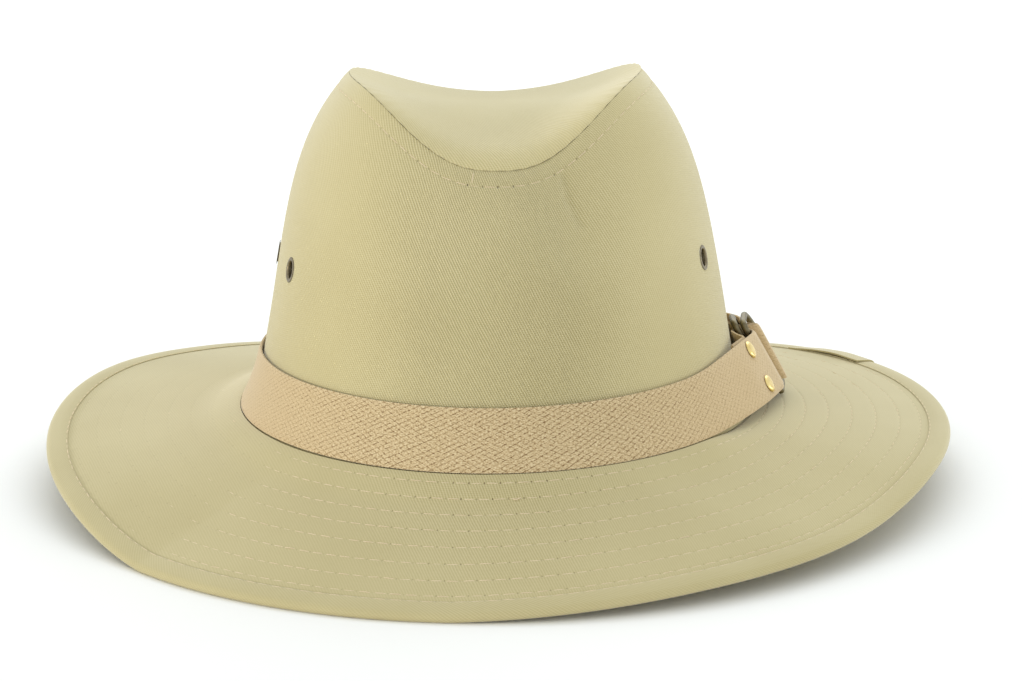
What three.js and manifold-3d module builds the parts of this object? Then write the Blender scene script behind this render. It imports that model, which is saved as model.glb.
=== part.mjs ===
// A cotton-twill fedora with a webbing band, resting on its brim.
// Millimetres, +Z up. The front faces -Y and the band's rings are on the +X side.
// The origin lies on the surface, under the middle of the brim.
import * as THREE from 'three';
import { mergeVertices } from 'three/addons/utils/BufferGeometryUtils.js';
import Module from 'manifold-3d';

const wasm = await Module();
wasm.setup();

// Shared sizes
const GAP = 0.3;
const SEAM_GAP = 0.5;
const AROUND = 64;
const FULL_TURN = 2 * Math.PI;
const ANGLE_NUDGE = 0.01;
const LENGTH_NUDGE = 0.5;
const CUTTER_LENGTH = 9;

// Crown, in a frame whose z = 0 is the plane of the head opening, leaning back a little
const CROWN_LIFT = 21;
const CROWN_PITCH = 2.5;
const CLOTH = 1.5;
const CROWN_BASE = { halfWidth: 81.8, halfLength: 101.5 };
const CROWN_TOP = { halfWidth: 48.4, halfLength: 76 };
const CROWN_SWAY = 0.7;
const CROWN_LEAN = { straightShare: 0.55, curvePower: 6 };
const BASE_FLARE = { out: 4.5, height: 22 };
const JOIN_RISE = 2.2;
const CROWN_LEVELS = [0, 0.05, 0.1, 0.2, 0.35, 0.5, 0.65, 0.78, 0.88, 0.95, 1];

// The ridge seam runs high along both sides and dips in a rounded V at the front and the back
const RIDGE_HEIGHT = 114.2;
const SEAM_DIPS = {
  front: { height: 90.6, power: 1.33, rounding: 1 },
  back: { height: 95.7, power: 1.8, rounding: 0 },
};
const DENT = { floor: 103.8, power: 2.3 };
const TIP_ROLL = { height: 0.8, power: 6 };
const TIP_RINGS = [0.15, 0.35, 0.55, 0.72, 0.84, 0.93, 1];

// Soft hollows pressed into the front of the crown, one row each
const PINCHES = [
  { angle: -66, level: 0.8, depth: 2.4, angleSpread: 10, levelSpread: 0.16 },
  { angle: -113, level: 0.82, depth: 1.6, angleSpread: 11, levelSpread: 0.16 },
];

// Brim, with the height of its edge above the surface by angle from +X; it flattens where it rests
const BRIM_THICK = 2;
const BRIM_EDGE = { halfWidth: 150.2, halfLength: 166.8 };
const BRIM_REST = 1.6;
const BRIM_RINGS = [0, 0.2, 0.5, 0.86, 1];
const EDGE_HEIGHTS = [
  { angle: 0, height: 16 },
  { angle: 22.5, height: 14.5 },
  { angle: 45, height: 10 },
  { angle: 67.5, height: 2 },
  { angle: 90, height: 0.5 },
  { angle: 112.5, height: 5 },
  { angle: 135, height: 13 },
  { angle: 157.5, height: 18.5 },
  { angle: 180, height: 17 },
  { angle: 202.5, height: 10.5 },
  { angle: 225, height: 1 },
  { angle: 247.5, height: 0 },
  { angle: 270, height: 2.4 },
  { angle: 292.5, height: 6 },
  { angle: 315, height: 9 },
  { angle: 337.5, height: 15.5 },
];

// Tape folded round the brim's edge, with its lapped end at the back right
const TAPE = 0.8;
const BINDING_WIDTH = 5.6;
const LAP = { angle: 29.7, halfAngle: 5, extra: 0.7 };

// Webbing band; along is measured round the crown from the rings, toward the back of the hat
const WEB = 1.2;
const BAND_WIDTH = 19;
const BAND_LOW = 1.6;
const BAND_OUT = 1.2;
const BAND_LENGTH = FULL_TURN * CROWN_BASE.halfLength;
const WRAP_STEPS = 56;

// By the rings the band sits a little higher and leans out at the bottom, and its strap end higher still
const BUCKLE = { angle: -1, lift: 1.9, strapRise: 0.8, cant: 4.2, level: 20, reach: 75 };

// Wire rings, bars stacked outward at along 0, slid down a little in the band's fold
const WIRE = 2.2;
const RING_SPACING = 2.8;
const BARS_OUT = 4.5;
const RING = { clearHeight: 25, rise: -0.25, depth: 20, straight: 12, corner: 2.2, steps: 32, sides: 8 };
const RINGS = [
  { name: 'd_ring_inner', stack: -0.5, tilt: 0 },
  { name: 'd_ring_outer', stack: 0.5, tilt: 7 },
];

// Pulled tight, the band leaves the crown and runs straight to the rings, loops round their bars
// and comes back under itself as a short tail
const PLY_GAP = 0.45;
const PLY_SPACING = WEB + PLY_GAP;
const LOOP_GAP = 0.45;
const LOOP_RADIUS = (RING_SPACING + WIRE + WEB) / 2 + LOOP_GAP;
const LOOP_STEP = 30;
const TOUCH_ALONG = -53;
const TAUT_SLOPE = 366;
const RIVET_ALONG = -17;
const TAUT_STOPS = [-4, -9, -13, RIVET_ALONG, -20, -26, -32, -39, -46];
const TAIL_STOPS = [-25, -20, -13, -10.5];
const TAIL_BEND = [
  { along: -7, out: 2.8 },
  { along: -3.2, out: 1.5 },
];

// The strap comes along the crown, up through both rings, and back between their bows
const STRAP_ROUTE = [
  { along: 24, out: BAND_OUT },
  { along: 14, out: BAND_OUT },
  { along: 9.5, out: BAND_OUT },
  { along: 7.4, out: 1.6 },
  { along: 6.2, out: 3.2 },
  { along: 5.8, out: 5 },
  { along: 5.7, out: 7.2 },
  { along: 6, out: 9.6 },
  { along: 6.9, out: 10.4 },
  { along: 7.8, out: 9.6 },
  { along: 8.3, out: 8 },
  { along: 9.4, out: 6.7 },
  { along: 11.4, out: 6 },
  { along: 14, out: 6 },
  { along: 20, out: 6.6 },
  { along: 26, out: 5.6 },
  { along: 34, out: 3.6 },
  { along: 44, out: 2.9 },
  { along: 62, out: 2.9 },
];
const STRAP_STEPS = 48;

// Rivets and eyelets
const RIVETS = [
  { name: 'rivet_upper', across: 6.5 },
  { name: 'rivet_lower', across: -6.5 },
];
const RIVET = { headRadius: 3, shankRadius: 1.2, holeRadius: 1.5, backRadius: 2.4, back: 0.8 };
const RIVET_DOME = { height: 1.2, shoulder: 0.92, crest: 0.65 };
const EYELET = { holeRadius: 2.6, barrelRadius: 3.2, cutRadius: 3.6, flangeRadius: 4.2, flange: 0.7 };
const EYELET_CLEAR = { outside: 0.25, inside: 0.5 };
const EYELETS = [
  { name: 'eyelet_right_front', angle: -23, height: 54 },
  { name: 'eyelet_right_rear', angle: 5, height: 54 },
  { name: 'eyelet_left_front', angle: 203, height: 52 },
  { name: 'eyelet_left_rear', angle: 182, height: 52 },
];
const SMALL_SIDES = 14;

const radians = THREE.MathUtils.degToRad;
const lerp = THREE.MathUtils.lerp;

const MATERIALS = {
  twill: { color: 0xc9bd92, roughness: 0.9, metalness: 0 },
  webbing: { color: 0xd0b78e, roughness: 0.9, metalness: 0 },
  darkMetal: { color: 0x6b6350, roughness: 0.4, metalness: 1 },
  goldMetal: { color: 0xd9b868, roughness: 0.35, metalness: 1 },
};

// Solids

function meshGeometry(points, faces) {
  const geometry = new THREE.BufferGeometry().setFromPoints(points);
  geometry.setIndex(faces);
  geometry.computeVertexNormals();
  return geometry;
}

// Joins rings of points; without poles the last ring meets the first, with poles both ends are fans.
function ringSolid(rings, poles = []) {
  const count = rings[0].length;
  const points = rings.flat();
  const faces = [];
  const bands = poles.length ? rings.length - 1 : rings.length;
  for (let band = 0; band < bands; band += 1) {
    const here = band * count;
    const next = ((band + 1) % rings.length) * count;
    for (let i = 0; i < count; i += 1) {
      const j = (i + 1) % count;
      faces.push(here + i, here + j, next + j);
      faces.push(here + i, next + j, next + i);
    }
  }
  if (poles.length) {
    const first = points.push(...poles) - poles.length;
    const lastRing = (rings.length - 1) * count;
    for (let i = 0; i < count; i += 1) {
      const j = (i + 1) % count;
      faces.push(first, j, i);
      faces.push(first + 1, lastRing + i, lastRing + j);
    }
  }
  return meshGeometry(points, faces);
}

// Joins four-cornered sections along a strip, with a flat cap on both ends.
function stripSolid(sections) {
  const corners = 4;
  const faces = [];
  for (let i = 0; i < sections.length - 1; i += 1) {
    const here = i * corners;
    const next = here + corners;
    for (let c = 0; c < corners; c += 1) {
      const d = (c + 1) % corners;
      faces.push(here + c, next + c, next + d);
      faces.push(here + c, next + d, here + d);
    }
  }
  const end = (sections.length - 1) * corners;
  faces.push(0, 1, 2, 0, 2, 3);
  faces.push(end, end + 2, end + 1, end, end + 3, end + 2);
  return meshGeometry(sections.flat(), faces);
}

function toManifold(geometry) {
  const bare = geometry.clone();
  bare.deleteAttribute('normal');
  bare.deleteAttribute('uv');
  const welded = mergeVertices(bare);
  const mesh = new wasm.Mesh({
    numProp: 3,
    vertProperties: new Float32Array(welded.attributes.position.array),
    triVerts: new Uint32Array(welded.index.array),
  });
  return new wasm.Manifold(mesh);
}

function cutAway(geometry, cutters) {
  let solid = toManifold(geometry);
  for (const cutter of cutters) {
    solid = solid.subtract(toManifold(cutter));
  }
  const mesh = solid.getMesh();
  const result = new THREE.BufferGeometry();
  result.setAttribute('position', new THREE.BufferAttribute(mesh.vertProperties, mesh.numProp));
  result.setIndex(new THREE.BufferAttribute(mesh.triVerts, 1));
  result.computeVertexNormals();
  return result;
}

function namedMesh(name, geometry, material, frame = new THREE.Matrix4()) {
  const mesh = new THREE.Mesh(geometry, new THREE.MeshStandardMaterial(material));
  mesh.name = name;
  mesh.applyMatrix4(frame);
  return mesh;
}

function ring(pointAt) {
  return Array.from({ length: AROUND }, (_, i) => pointAt((i / AROUND) * FULL_TURN));
}

// Crown

function joinHeight(angle) {
  return JOIN_RISE * Math.cos(angle) ** 2;
}

function seamHeight(angle) {
  const dip = Math.sin(angle) < 0 ? SEAM_DIPS.front : SEAM_DIPS.back;
  const rise = Math.abs(Math.cos(angle)) ** dip.power;
  const climb = lerp(rise, Math.sin((Math.PI / 2) * rise) ** 2, dip.rounding);
  return lerp(dip.height, RIDGE_HEIGHT, climb);
}

function pinchDepth(angle, level) {
  let depth = 0;
  for (const pinch of PINCHES) {
    const turn = Math.atan2(Math.sin(angle - radians(pinch.angle)), Math.cos(angle - radians(pinch.angle)));
    const across = turn / radians(pinch.angleSpread);
    const up = (level - pinch.level) / pinch.levelSpread;
    depth += pinch.depth * Math.exp(-(across ** 2) - up ** 2);
  }
  return depth;
}

// Half width and half length of the crown's outside at a level between its base (0) and the seam (1).
function crownHalves(angle, level) {
  const { straightShare, curvePower } = CROWN_LEAN;
  const lean = straightShare * level + (1 - straightShare) * level ** curvePower;
  const height = level * (seamHeight(angle) - joinHeight(angle));
  const flare = BASE_FLARE.out * Math.max(0, 1 - height / BASE_FLARE.height) ** 2;
  const outward = flare - pinchDepth(angle, level);
  return {
    width: lerp(CROWN_BASE.halfWidth, CROWN_TOP.halfWidth, lean) + outward,
    length: lerp(CROWN_BASE.halfLength, CROWN_TOP.halfLength, lean) + outward,
  };
}

function crownPoint(angle, level, inset = 0) {
  const halves = crownHalves(angle, level);
  const height = lerp(joinHeight(angle), seamHeight(angle), level);
  return new THREE.Vector3(
    (halves.width - inset) * Math.cos(angle) + CROWN_SWAY * level,
    (halves.length - inset) * Math.sin(angle),
    height - inset * level,
  );
}

function levelAtHeight(angle, height) {
  return height / (seamHeight(angle) - joinHeight(angle));
}

function wallNormal(angle, level) {
  const round = crownPoint(angle + ANGLE_NUDGE, level).sub(crownPoint(angle - ANGLE_NUDGE, level));
  const up = crownPoint(angle, level + ANGLE_NUDGE).sub(crownPoint(angle, level - ANGLE_NUDGE));
  return round.cross(up).normalize();
}

// A frame on a point with its Y axis along a direction, as a turned piece needs.
function frameAlong(origin, direction) {
  const turn = new THREE.Quaternion().setFromUnitVectors(new THREE.Vector3(0, 1, 0), direction);
  return new THREE.Matrix4().compose(origin, turn, new THREE.Vector3(1, 1, 1));
}

function eyeletFrame({ angle, height }) {
  const turn = radians(angle);
  const level = levelAtHeight(turn, height);
  return frameAlong(crownPoint(turn, level), wallNormal(turn, level));
}

function crownSide() {
  const seat = new THREE.Vector3(0, 0, GAP);
  const outside = CROWN_LEVELS.map((level) => ring((angle) => crownPoint(angle, level)));
  const inside = CROWN_LEVELS.map((level) => ring((angle) => crownPoint(angle, level, CLOTH))).reverse();
  outside[0].forEach((point) => point.add(seat));
  inside.at(-1).forEach((point) => point.add(seat));
  const holes = EYELETS.map((eyelet) => {
    const cutter = new THREE.CylinderGeometry(EYELET.cutRadius, EYELET.cutRadius, CUTTER_LENGTH, SMALL_SIDES);
    return cutter.applyMatrix4(eyeletFrame(eyelet));
  });
  return cutAway(ringSolid([...outside, ...inside]), holes);
}

function tipPoint(angle, reach, inset) {
  const rim = reach ** TIP_ROLL.power;
  const roll = TIP_ROLL.height * 4 * rim * (1 - rim);
  const height = lerp(DENT.floor, seamHeight(angle), reach ** DENT.power) + roll;
  const halves = crownHalves(angle, 1);
  return new THREE.Vector3(
    (halves.width - inset) * Math.cos(angle) * reach + CROWN_SWAY,
    (halves.length - inset) * Math.sin(angle) * reach,
    height - inset + SEAM_GAP,
  );
}

function crownTip() {
  const under = TIP_RINGS.map((reach) => ring((angle) => tipPoint(angle, reach, CLOTH)));
  const over = TIP_RINGS.map((reach) => ring((angle) => tipPoint(angle, reach, 0))).reverse();
  return ringSolid([...under, ...over], [tipPoint(0, 0, CLOTH), tipPoint(0, 0, 0)]);
}

// An eyelet's profile goes round its barrel and both flanges; its Y axis points out of the crown.
function eyelet() {
  const { holeRadius, barrelRadius, flangeRadius, flange } = EYELET;
  const outer = EYELET_CLEAR.outside;
  const inner = -CLOTH - EYELET_CLEAR.inside;
  const profile = [
    [holeRadius, inner - flange],
    [flangeRadius, inner - flange],
    [flangeRadius, inner],
    [barrelRadius, inner],
    [barrelRadius, outer],
    [flangeRadius, outer],
    [flangeRadius, outer + flange / 2],
    [(flangeRadius + barrelRadius) / 2, outer + flange],
    [barrelRadius, outer + flange],
    [holeRadius, outer + flange / 2],
    [holeRadius, inner - flange],
  ];
  return new THREE.LatheGeometry(profile.map(([x, y]) => new THREE.Vector2(x, y)), SMALL_SIDES);
}

// Brim

const crown = new THREE.Group();
crown.position.z = CROWN_LIFT;
crown.rotation.x = -radians(CROWN_PITCH);
crown.updateMatrix();

// A smooth closed curve through the table of edge heights, flattened where the brim rests.
function edgeHeight(angle) {
  const count = EDGE_HEIGHTS.length;
  const place = (((angle / FULL_TURN) % 1) + 1) % 1 * count;
  const row = Math.floor(place);
  const [a, b, c, d] = [-1, 0, 1, 2].map((step) => EDGE_HEIGHTS[(row + step + count) % count].height);
  const f = place - row;
  const smooth = b + 0.5 * f * (c - a + f * (2 * a - 5 * b + 4 * c - d + f * (3 * (b - c) + d - a)));
  return Math.max(BRIM_REST, smooth);
}

// The middle of the brim's thickness, from the head opening (reach 0) to the edge (reach 1).
function brimMiddle(angle, reach) {
  const inner = crownPoint(angle, 0, CLOTH).applyMatrix4(crown.matrix);
  inner.z -= BRIM_THICK / 2;
  const outer = new THREE.Vector3(
    BRIM_EDGE.halfWidth * Math.cos(angle),
    BRIM_EDGE.halfLength * Math.sin(angle),
    edgeHeight(angle),
  );
  return inner.lerp(outer, reach);
}

function brimFrame(angle, reach) {
  const middle = brimMiddle(angle, reach);
  const outward = brimMiddle(angle, 1).sub(brimMiddle(angle, 0)).normalize();
  const round = brimMiddle(angle + ANGLE_NUDGE, reach).sub(brimMiddle(angle - ANGLE_NUDGE, reach));
  const normal = outward.clone().cross(round).normalize();
  return { middle, outward, normal };
}

function brimPoint(angle, reach, beyond, above) {
  const { middle, outward, normal } = brimFrame(angle, reach);
  return middle.addScaledVector(outward, beyond).addScaledVector(normal, above);
}

function brim() {
  const half = BRIM_THICK / 2;
  const under = BRIM_RINGS.map((reach) => ring((angle) => brimPoint(angle, reach, 0, -half)));
  const over = BRIM_RINGS.map((reach) => ring((angle) => brimPoint(angle, reach, 0, half))).reverse();
  return ringSolid([...under, ...over]);
}

function lapExtra(angle) {
  const turn = THREE.MathUtils.radToDeg(angle);
  return Math.abs(turn - LAP.angle) < LAP.halfAngle ? LAP.extra : 0;
}

// The tape's section: round the outside of the edge, then back along the brim's two faces.
function bindingSection(angle) {
  const inside = BRIM_THICK / 2 + GAP;
  const outside = inside + TAPE + lapExtra(angle);
  const slant = outside * Math.SQRT1_2;
  return [
    [-BINDING_WIDTH, -outside],
    [0, -outside],
    [slant, -slant],
    [outside, 0],
    [slant, slant],
    [0, outside],
    [-BINDING_WIDTH, outside],
    [-BINDING_WIDTH, inside],
    [GAP, inside],
    [GAP, -inside],
    [-BINDING_WIDTH, -inside],
  ];
}

function brimBinding() {
  const corners = bindingSection(0).length;
  const rings = Array.from({ length: corners }, (_, corner) => ring((angle) => {
    const [beyond, above] = bindingSection(angle)[corner];
    const point = brimPoint(angle, 1, beyond, above);
    point.z = Math.max(0, point.z);
    return point;
  }));
  return ringSolid(rings);
}

// Band

// Bottom and top of the band's middle ply, at a place round the crown and a distance out from it.
function bandStation(along, out) {
  const angle = radians(BUCKLE.angle) + along / CROWN_BASE.halfLength;
  const turns = Math.round(along / BAND_LENGTH);
  const away = Math.abs(along - turns * BAND_LENGTH);
  const nearness = 1 - THREE.MathUtils.smoothstep(away, BUCKLE.level, BUCKLE.reach);
  const lift = turns ? BUCKLE.lift + BUCKLE.strapRise : BUCKLE.lift;
  const bottom = BAND_LOW + lift * nearness;
  const outward = new THREE.Vector3(
    Math.cos(angle) / CROWN_BASE.halfWidth,
    Math.sin(angle) / CROWN_BASE.halfLength,
    0,
  ).normalize();
  const low = crownPoint(angle, levelAtHeight(angle, bottom));
  const high = crownPoint(angle, levelAtHeight(angle, bottom + BAND_WIDTH));
  low.addScaledVector(outward, out + BUCKLE.cant * nearness);
  high.addScaledVector(outward, out);
  return { low, high, middle: low.clone().lerp(high, 0.5) };
}

function tautOut(along) {
  return BAND_OUT + (along - TOUCH_ALONG) ** 2 / TAUT_SLOPE;
}

function foldRoute() {
  const tail = TAIL_STOPS.map((along) => ({ along, out: tautOut(along) - PLY_SPACING }));
  const loop = [];
  for (let degrees = -90; degrees <= 90; degrees += LOOP_STEP) {
    const angle = radians(degrees);
    loop.push({ along: LOOP_RADIUS * Math.cos(angle), out: BARS_OUT + LOOP_RADIUS * Math.sin(angle) });
  }
  const taut = TAUT_STOPS.map((along) => ({ along, out: tautOut(along) }));
  return [...tail, ...TAIL_BEND, ...loop, ...taut];
}

function wrapRoute() {
  const last = STRAP_ROUTE[0].along - BAND_LENGTH;
  return Array.from({ length: WRAP_STEPS }, (_, i) => ({
    along: lerp(TOUCH_ALONG, last, i / WRAP_STEPS),
    out: BAND_OUT,
  }));
}

function strapRoute() {
  const points = STRAP_ROUTE.map(({ along, out }) => new THREE.Vector3(along, out, 0));
  const curve = new THREE.CatmullRomCurve3(points);
  return curve.getPoints(STRAP_STEPS).map((point) => ({ along: point.x - BAND_LENGTH, out: point.y }));
}

function rivetFrame({ across }) {
  const here = bandStation(RIVET_ALONG, tautOut(RIVET_ALONG));
  const under = bandStation(RIVET_ALONG, tautOut(RIVET_ALONG) - PLY_SPACING);
  const before = bandStation(RIVET_ALONG - LENGTH_NUDGE, tautOut(RIVET_ALONG - LENGTH_NUDGE));
  const after = bandStation(RIVET_ALONG + LENGTH_NUDGE, tautOut(RIVET_ALONG + LENGTH_NUDGE));
  const up = here.high.clone().sub(here.low).normalize();
  const outward = after.middle.sub(before.middle).cross(up).normalize();
  const origin = here.middle.lerp(under.middle, 0.5).addScaledVector(up, across);
  return frameAlong(origin, outward);
}

function hatBand() {
  const route = [...foldRoute(), ...wrapRoute(), ...strapRoute()];
  const stations = route.map(({ along, out }) => bandStation(along, out));
  const sections = stations.map(({ low, high, middle }, i) => {
    const before = stations[Math.max(0, i - 1)].middle;
    const after = stations[Math.min(stations.length - 1, i + 1)].middle;
    const up = high.clone().sub(low).normalize();
    const face = after.clone().sub(before).cross(up).setLength(WEB / 2);
    return [
      low.clone().add(face),
      high.clone().add(face),
      high.clone().sub(face),
      low.clone().sub(face),
    ];
  });
  const holes = RIVETS.map((rivetRow) => {
    const cutter = new THREE.CylinderGeometry(RIVET.holeRadius, RIVET.holeRadius, CUTTER_LENGTH, SMALL_SIDES);
    return cutter.applyMatrix4(rivetFrame(rivetRow));
  });
  return cutAway(stripSolid(sections), holes);
}

// A rivet through both plies of the fold; its Y axis points out of the band.
function rivet() {
  const { headRadius, shankRadius, backRadius, back } = RIVET;
  const { height: dome, shoulder, crest } = RIVET_DOME;
  const face = WEB + 2 * GAP;
  const profile = [
    [0, -face - back],
    [backRadius, -face - back],
    [backRadius, -face],
    [shankRadius, -face],
    [shankRadius, face],
    [headRadius, face],
    [headRadius * shoulder, face + dome / 2],
    [headRadius * crest, face + dome * shoulder],
    [0, face + dome],
  ];
  return new THREE.LatheGeometry(profile.map(([x, y]) => new THREE.Vector2(x, y)), SMALL_SIDES);
}

// Rings

// A D of round wire: its bar on the Y axis, its bow toward +X.
function dRing() {
  const half = (RING.clearHeight + WIRE) / 2;
  const { corner, straight, depth } = RING;
  const outline = new THREE.Path();
  outline.moveTo(0, 0);
  outline.lineTo(0, -half + corner);
  outline.absarc(corner, -half + corner, corner, Math.PI, 1.5 * Math.PI, false);
  outline.lineTo(straight, -half);
  outline.absellipse(straight, 0, depth - straight, half, -Math.PI / 2, Math.PI / 2, false);
  outline.lineTo(corner, half);
  outline.absarc(corner, half - corner, corner, Math.PI / 2, Math.PI, false);
  outline.closePath();
  const points = outline.getSpacedPoints(RING.steps).slice(0, -1);
  const centres = points.map((point) => new THREE.Vector3(point.x, point.y, 0));
  const path = new THREE.CatmullRomCurve3(centres, true);
  return new THREE.TubeGeometry(path, RING.steps, WIRE / 2, RING.sides, true);
}

function ringFrame({ stack, tilt }) {
  const { low, high, middle } = bandStation(0, BARS_OUT + stack * RING_SPACING);
  const ahead = bandStation(LENGTH_NUDGE, BARS_OUT + stack * RING_SPACING).middle;
  const up = high.clone().sub(low).normalize();
  const toBack = ahead.sub(middle);
  const outward = toBack.clone().cross(up).normalize();
  toBack.copy(up).cross(outward);
  middle.addScaledVector(up, RING.rise);
  const tiltTurn = new THREE.Matrix4().makeRotationY(-radians(tilt));
  const frame = new THREE.Matrix4().makeBasis(toBack, up, outward).setPosition(middle);
  return frame.multiply(tiltTurn);
}

// Assembly

crown.add(namedMesh('crown_side', crownSide(), MATERIALS.twill));
crown.add(namedMesh('crown_tip', crownTip(), MATERIALS.twill));
crown.add(namedMesh('hat_band', hatBand(), MATERIALS.webbing));
for (const row of RINGS) {
  crown.add(namedMesh(row.name, dRing(), MATERIALS.darkMetal, ringFrame(row)));
}
for (const row of RIVETS) {
  crown.add(namedMesh(row.name, rivet(), MATERIALS.goldMetal, rivetFrame(row)));
}
for (const row of EYELETS) {
  crown.add(namedMesh(row.name, eyelet(), MATERIALS.darkMetal, eyeletFrame(row)));
}

const fedora = new THREE.Group();
fedora.add(crown);
fedora.add(namedMesh('brim', brim(), MATERIALS.twill));
fedora.add(namedMesh('brim_binding', brimBinding(), MATERIALS.twill));

export default fedora;
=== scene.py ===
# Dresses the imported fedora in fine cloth, webbing, stitches and metal, and sets up its studio.
# Sizes are in millimetres, and the angles in the tables are in degrees; meshes are made in metres.
import math

import bpy
import numpy as np
from mathutils import Matrix, Vector


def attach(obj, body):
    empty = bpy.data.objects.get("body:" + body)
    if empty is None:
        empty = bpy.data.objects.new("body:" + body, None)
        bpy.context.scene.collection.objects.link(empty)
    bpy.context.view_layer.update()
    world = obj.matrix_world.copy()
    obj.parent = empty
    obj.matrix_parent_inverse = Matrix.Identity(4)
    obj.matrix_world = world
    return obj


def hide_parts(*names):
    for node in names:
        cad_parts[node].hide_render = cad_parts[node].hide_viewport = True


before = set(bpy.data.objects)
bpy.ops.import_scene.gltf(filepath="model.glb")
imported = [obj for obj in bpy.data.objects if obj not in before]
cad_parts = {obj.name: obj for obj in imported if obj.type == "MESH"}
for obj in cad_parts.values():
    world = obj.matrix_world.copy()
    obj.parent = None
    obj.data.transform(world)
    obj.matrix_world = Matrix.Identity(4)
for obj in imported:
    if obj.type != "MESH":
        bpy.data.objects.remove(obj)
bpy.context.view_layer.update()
MM = 0.001
FULL_TURN = 2 * math.pi
BACK = math.pi / 2

# Crown, in a frame that leans back and whose z = 0 is the plane of the head opening
CROWN_LIFT = 21.0
CROWN_PITCH = 2.5
CLOTH = 1.5
CROWN_BASE = {"width": 81.8, "length": 101.5}
CROWN_TOP = {"width": 48.4, "length": 76.0}
CROWN_SWAY = 0.7
CROWN_LEAN = {"straight": 0.55, "power": 6}
BASE_FLARE = {"out": 4.5, "height": 22.0}
JOIN_RISE = 2.2
SEAT_GAP = 0.3
RIDGE_HEIGHT = 114.2
FRONT_DIP = {"height": 90.6, "power": 1.33, "rounding": 1.0}
BACK_DIP = {"height": 95.7, "power": 1.8, "rounding": 0.0}
PINCHES = [
    {"angle": -66, "level": 0.8, "depth": 2.4, "angle_spread": 10, "level_spread": 0.16},
    {"angle": -113, "level": 0.82, "depth": 1.6, "angle_spread": 11, "level_spread": 0.16},
]
CROWN_GRID = {"around": 420, "lower": 58, "upper": 40, "inside": 18, "upper_from": 0.88}
PANEL_RADIUS = 400.0
PANEL_GIRTH = 86.0

# Seam along the ridge, the row of stitches below it that holds its folded edge, and the seam at the back
TOPSTITCH_FALL = 5.6
SEAM_PUFF = 0.12
TOPSTITCH_GROOVE = {"depth": 0.18, "width": 0.5}
SEAM_ROLL = {"depth": 0.07, "width": 0.3}
BACK_SEAM = {"depth": 0.4, "width": 0.7}
JOIN_STITCH = {"angle": -98.8, "from": 0.9, "to": 5.0}

# Soft crease at the front right, with its route as (angle, height), and slow waves above the band
CREASE = {"depth": 0.85, "width": 2.0}
CREASE_ROUTE = [(-67.4, 87.7), (-67.5, 81.3), (-65.6, 74.6)]
WAVES = [
    {"turns": 3, "rise": 0.031, "phase": 0.4, "height": 0.16},
    {"turns": 5, "rise": -0.044, "phase": 2.1, "height": 0.13},
    {"turns": 9, "rise": 0.062, "phase": 4.0, "height": 0.08},
]
WAVES_FADE = {"from": 18.0, "to": 40.0}

# Top panel
DENT = {"floor": 103.8, "power": 2.3}
TIP_ROLL = {"side": 0.4, "front": 1.8, "power": 6}
TIP_LIFT = 0.24
TIP_GRID = {"around": 300, "over": 70, "under": 14, "first": 0.01, "crowd": 1.5}
TIP_PUCKER = {"count": 64, "height": 0.1, "reach": 6.0}

# Brim; reach goes from the head opening (0) to the edge (1), whose heights lie at even angles
BRIM_THICK = 2.0
BRIM_EDGE = {"width": 150.2, "length": 166.8}
BRIM_REST = 1.6
EDGE_HEIGHTS = [16, 14.5, 10, 2, 0.5, 5, 13, 18.5, 17, 10.5, 1, 0, 2.4, 6, 9, 15.5]
COVE = {"side": 1.9, "front": 2.45, "buckle": 0.2, "start": 0.02, "full": 0.034, "end": 0.24}
COVE_ARC = {"near": 22.0, "far": 42.0}
BRIM_ROWS = [0.09, 0.178, 0.286, 0.404, 0.525, 0.647, 0.767, 0.875]
QUILT = {"least": 0.02, "most": 0.14, "width": 0.26, "angle": -50, "power": 3}
DITCH = {"depth": 0.06, "width": 0.24, "inside": 0.12}
LOWEST_BRIM = 0.5
BRIM_GRID = {
    "around": 480,
    "steps": [-1.6, -0.7, -0.28, 0.0, 0.28, 0.7, 1.6],
    "ends": [0, 0.01, 0.02, 0.024, 0.028, 0.031, 0.034, 0.04, 0.05, 1],
    "ditch_steps": np.arange(-2.0, 2.1, 0.25),
}

# Binding round the brim's edge; its pressed edge is a list of (distance from it, thickness there)
TAPE = 0.6
BINDING_WIDTH = 5.6
BINDING_GAP = 0.1
BINDING_ROW = -5.25
BINDING_AROUND = 720
BINDING_PRESSED = 0.22
TAPE_FLAT_TO = -1.0
EDGE_STEPS = 13
PRESSED_EDGE = [(0.0, 0.0), (0.04, 0.12), (0.2, 0.2), (0.8, 0.3), (1.6, 0.42), (2.6, 0.54), (3.6, TAPE)]
LAP = {"from": 25.7, "to": 41.0, "steps": 60, "gap": 0.3, "gap_at": 31.5, "gap_spread": 3.0}
LAP_SINK = {"from": 35.0, "depth": 0.75, "clear": 0.06}

# Stitches; those of the brim sink into the cloth toward its sides
STITCH_PITCH = 4.8
STITCH_FILL = 0.88
STITCH_SEED = 11
STITCH_WOBBLE = {"along": 0.03, "across": 0.08, "sink": 0.04}
THREAD = 0.15
THREAD_SINK = 0.2
THREAD_RISE = 0.02
SIDE_SINK = {"left": 0.22, "right": 0.07, "from": 25.0, "to": 62.0}
STITCH_POINTS = 7
STITCH_ARCH = 4
STITCH_ANGLES = 3600
NO_STITCH = 99.0
THREAD_SIDES = 6
THREAD_TAPER = {"end": 0.05, "power": 6}
THREAD_TAIL = {"angle": -87.9, "row": 1, "length": 2.6, "swing": 0.9, "rise": 0.5}

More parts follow.
